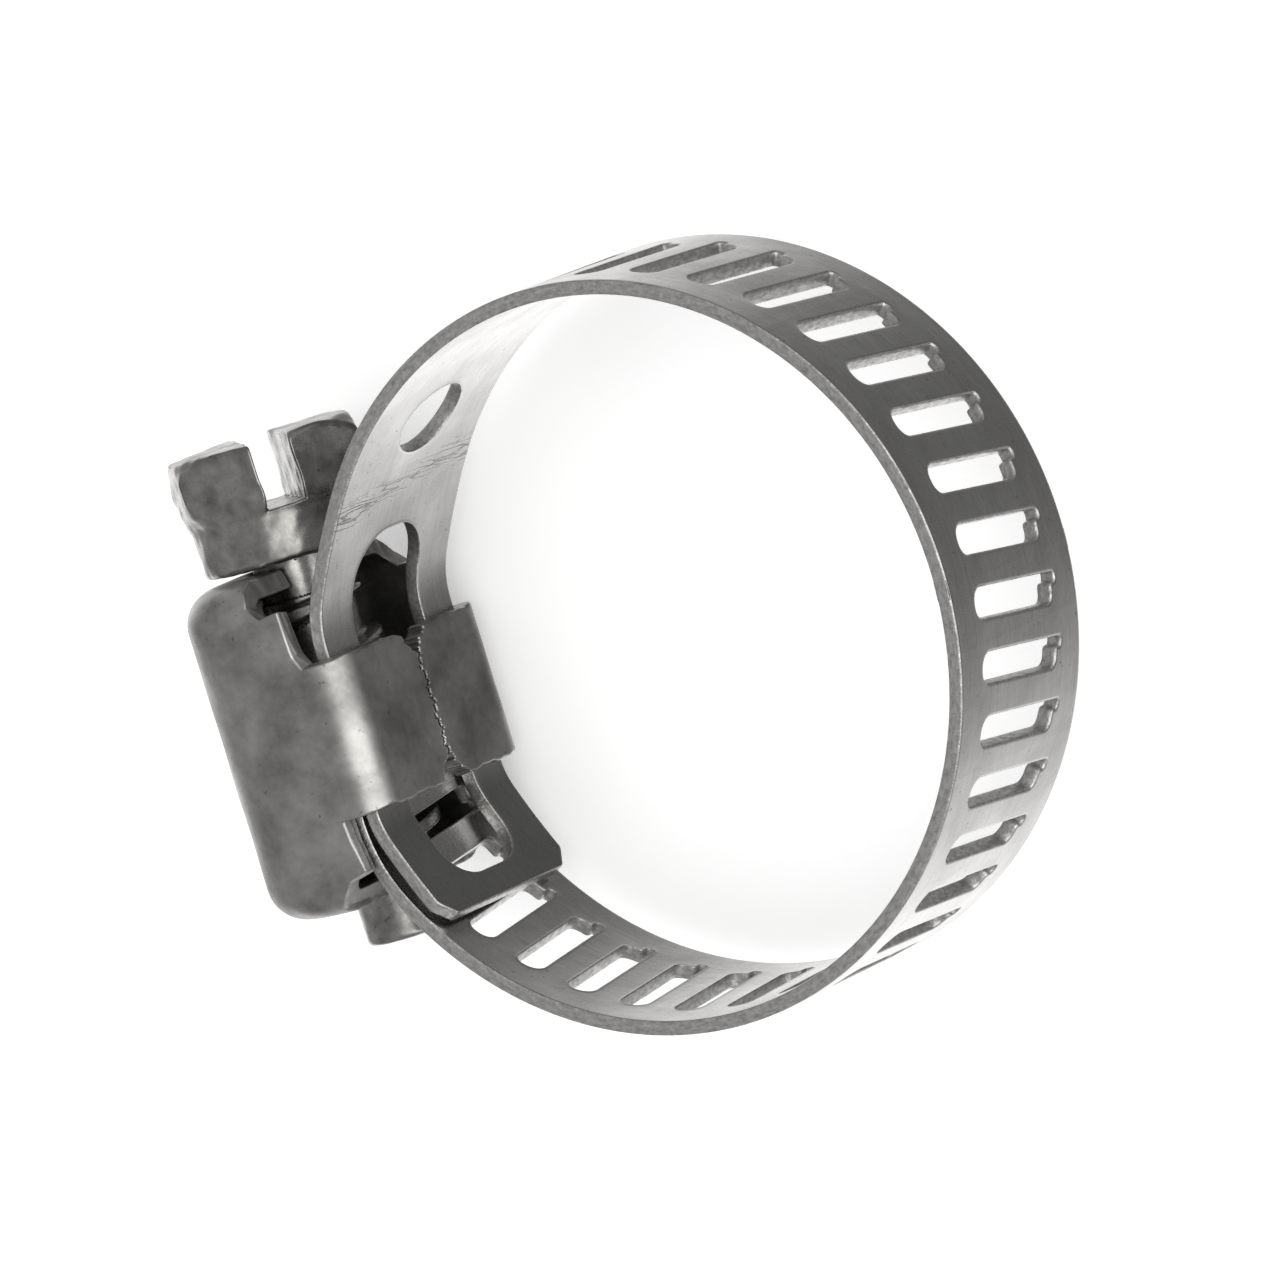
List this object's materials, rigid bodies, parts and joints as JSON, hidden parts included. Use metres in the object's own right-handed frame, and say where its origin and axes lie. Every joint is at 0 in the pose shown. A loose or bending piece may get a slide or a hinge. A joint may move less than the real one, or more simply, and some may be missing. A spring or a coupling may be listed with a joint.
{
  "type": "hose clamp",
  "caption": "Miniature worm-drive hose clamp: slotted band looped through a domed housing and tightened by a slotted hexagon-head screw.",
  "frame": {"origin": "on the hose axis, in the plane of the housing side wall the clamp lies on", "axes": "+Z along the hose axis, +Y along the screw towards its head, +X from the housing across the loop"},
  "size_m": [0.0304, 0.0251, 0.0095],
  "materials": {
    "band_steel": "rolled stainless strip with sheared edges and fine scratches",
    "housing_steel": "pressed stainless sheet, slightly dull",
    "screw_steel": "scuffed bare steel"
  },
  "bodies": {
    "housing_and_anchored_strip": {"housing": "housing_steel", "band_anchor_strip": "band_steel"},
    "screw": {"screw": "screw_steel"},
    "band_tongue": {"band_tongue": "band_steel"},
    "band_length_01": {"band_length_01": "band_steel"},
    "band_length_02": {"band_length_02": "band_steel"},
    "band_length_03": {"band_length_03": "band_steel"},
    "band_length_04": {"band_length_04": "band_steel"},
    "band_length_05": {"band_length_05": "band_steel"},
    "band_length_06": {"band_length_06": "band_steel"},
    "band_length_07": {"band_length_07": "band_steel"},
    "band_length_08": {"band_length_08": "band_steel"},
    "band_length_09": {"band_length_09": "band_steel"},
    "band_length_10": {"band_length_10": "band_steel"},
    "band_length_11": {"band_length_11": "band_steel"},
    "band_length_12": {"band_length_12": "band_steel"},
    "band_length_13": {"band_length_13": "band_steel"},
    "band_length_14": {"band_length_14": "band_steel"},
    "band_length_15": {"band_length_15": "band_steel"},
    "band_length_16": {"band_length_16": "band_steel"},
    "band_length_17": {"band_length_17": "band_steel"},
    "band_length_18": {"band_length_18": "band_steel"},
    "band_free_end": {"band_free_end": "band_steel"}
  },
  "joints": [
    {"name": "screw_turn", "type": "hinge", "parent": "housing_and_anchored_strip", "child": "screw", "pos_m": [-0.0139, 0, 0.00477], "axis": [0, -1, 0], "range_deg": [0, 720.05]},
    {"name": "free_end_slide", "type": "slide", "parent": "housing_and_anchored_strip", "child": "band_free_end", "axis": [0, 1, 0], "range_m": [0, 0.0042]},
    {"name": "tongue_spring", "type": "hinge", "parent": "housing_and_anchored_strip", "child": "band_tongue", "pos_m": [-0.01125, -0.0029, 0.00477], "axis": [0, 0, 1], "range_deg": [0, 12.02]},
    {"name": "band_hinge_01", "type": "hinge", "parent": "housing_and_anchored_strip", "child": "band_length_01", "pos_m": [-0.0092, 0.00695, 0.00477], "axis": [0, 0, 1], "range_deg": [-1.36, 0]},
    {"name": "band_hinge_02", "type": "hinge", "parent": "band_length_01", "child": "band_length_02", "pos_m": [-0.00526, 0.01059, 0.00477], "axis": [0, 0, 1], "range_deg": [-1.36, 0]},
    {"name": "band_hinge_03", "type": "hinge", "parent": "band_length_02", "child": "band_length_03", "pos_m": [-0.00083, 0.01209, 0.00477], "axis": [0, 0, 1], "range_deg": [-1.31, 0]},
    {"name": "band_hinge_04", "type": "hinge", "parent": "band_length_03", "child": "band_length_04", "pos_m": [0.00334, 0.01189, 0.00477], "axis": [0, 0, 1], "range_deg": [-1.34, 0]},
    {"name": "band_hinge_05", "type": "hinge", "parent": "band_length_04", "child": "band_length_05", "pos_m": [0.00719, 0.01026, 0.00477], "axis": [0, 0, 1], "range_deg": [-1.4, 0]},
    {"name": "band_hinge_06", "type": "hinge", "parent": "band_length_05", "child": "band_length_06", "pos_m": [0.01024, 0.0074, 0.00477], "axis": [0, 0, 1], "range_deg": [-1.41, 0]},
    {"name": "band_hinge_07", "type": "hinge", "parent": "band_length_06", "child": "band_length_07", "pos_m": [0.01212, 0.00367, 0.00477], "axis": [0, 0, 1], "range_deg": [-1.38, 0]},
    {"name": "band_hinge_19", "type": "hinge", "parent": "band_free_end", "child": "band_length_18", "pos_m": [-0.01189, -0.003, 0.00477], "axis": [0, 0, 1], "range_deg": [-11.46, 0]},
    {"name": "band_hinge_18", "type": "hinge", "parent": "band_length_18", "child": "band_length_17", "pos_m": [-0.01155, -0.00506, 0.00477], "axis": [0, 0, 1], "range_deg": [-20.56, 0]},
    {"name": "band_hinge_17", "type": "hinge", "parent": "band_length_17", "child": "band_length_16", "pos_m": [-0.01055, -0.0069, 0.00477], "axis": [0, 0, 1], "range_deg": [0, 3.68]},
    {"name": "band_hinge_16", "type": "hinge", "parent": "band_length_16", "child": "band_length_15", "pos_m": [-0.00923, -0.00853, 0.00477], "axis": [0, 0, 1], "range_deg": [0, 9.16]},
    {"name": "band_hinge_15", "type": "hinge", "parent": "band_length_15", "child": "band_length_14", "pos_m": [-0.00765, -0.00991, 0.00477], "axis": [0, 0, 1], "range_deg": [0, 1.4]},
    {"name": "band_hinge_14", "type": "hinge", "parent": "band_length_14", "child": "band_length_13", "pos_m": [-0.00587, -0.01102, 0.00477], "axis": [0, 0, 1], "range_deg": [0, 9.38]},
    {"name": "band_hinge_13", "type": "hinge", "parent": "band_length_13", "child": "band_length_12", "pos_m": [-0.00189, -0.01229, 0.00477], "axis": [0, 0, 1], "range_deg": [-5.96, 0]},
    {"name": "band_hinge_12", "type": "hinge", "parent": "band_length_12", "child": "band_length_11", "pos_m": [0.00229, -0.01219, 0.00477], "axis": [0, 0, 1], "range_deg": [0, 1.15]},
    {"name": "band_hinge_11", "type": "hinge", "parent": "band_length_11", "child": "band_length_10", "pos_m": [0.00622, -0.01075, 0.00477], "axis": [0, 0, 1], "range_deg": [0, 1.18]},
    {"name": "band_hinge_10", "type": "hinge", "parent": "band_length_10", "child": "band_length_09", "pos_m": [0.00946, -0.0081, 0.00477], "axis": [0, 0, 1], "range_deg": [0, 1.23]},
    {"name": "band_hinge_09", "type": "hinge", "parent": "band_length_09", "child": "band_length_08", "pos_m": [0.01166, -0.00455, 0.00477], "axis": [0, 0, 1], "range_deg": [0, 1.3]}
  ],
  "couplings": [
    {"joint": "screw_turn", "follows": "free_end_slide", "rad_per_m": 2992},
    {"joint": "tongue_spring", "follows": "free_end_slide", "rad_per_m": 49.867},
    {"joint": "band_hinge_01", "follows": "free_end_slide", "rad_per_m": -5.5677},
    {"joint": "band_hinge_02", "follows": "free_end_slide", "rad_per_m": -5.5778},
    {"joint": "band_hinge_03", "follows": "free_end_slide", "rad_per_m": -5.3799},
    {"joint": "band_hinge_04", "follows": "free_end_slide", "rad_per_m": -5.4853},
    {"joint": "band_hinge_05", "follows": "free_end_slide", "rad_per_m": -5.7397},
    {"joint": "band_hinge_06", "follows": "free_end_slide", "rad_per_m": -5.7884},
    {"joint": "band_hinge_07", "follows": "free_end_slide", "rad_per_m": -5.6291},
    {"joint": "band_hinge_19", "follows": "free_end_slide", "rad_per_m": -47.538},
    {"joint": "band_hinge_18", "follows": "free_end_slide", "rad_per_m": -85.343},
    {"joint": "band_hinge_17", "follows": "free_end_slide", "rad_per_m": 15.211},
    {"joint": "band_hinge_16", "follows": "free_end_slide", "rad_per_m": 37.982},
    {"joint": "band_hinge_15", "follows": "free_end_slide", "rad_per_m": 5.7381},
    {"joint": "band_hinge_14", "follows": "free_end_slide", "rad_per_m": 38.905},
    {"joint": "band_hinge_13", "follows": "free_end_slide", "rad_per_m": -24.683},
    {"joint": "band_hinge_12", "follows": "free_end_slide", "rad_per_m": 4.7064},
    {"joint": "band_hinge_11", "follows": "free_end_slide", "rad_per_m": 4.7996},
    {"joint": "band_hinge_10", "follows": "free_end_slide", "rad_per_m": 5.0126},
    {"joint": "band_hinge_09", "follows": "free_end_slide", "rad_per_m": 5.3132}
  ]
}
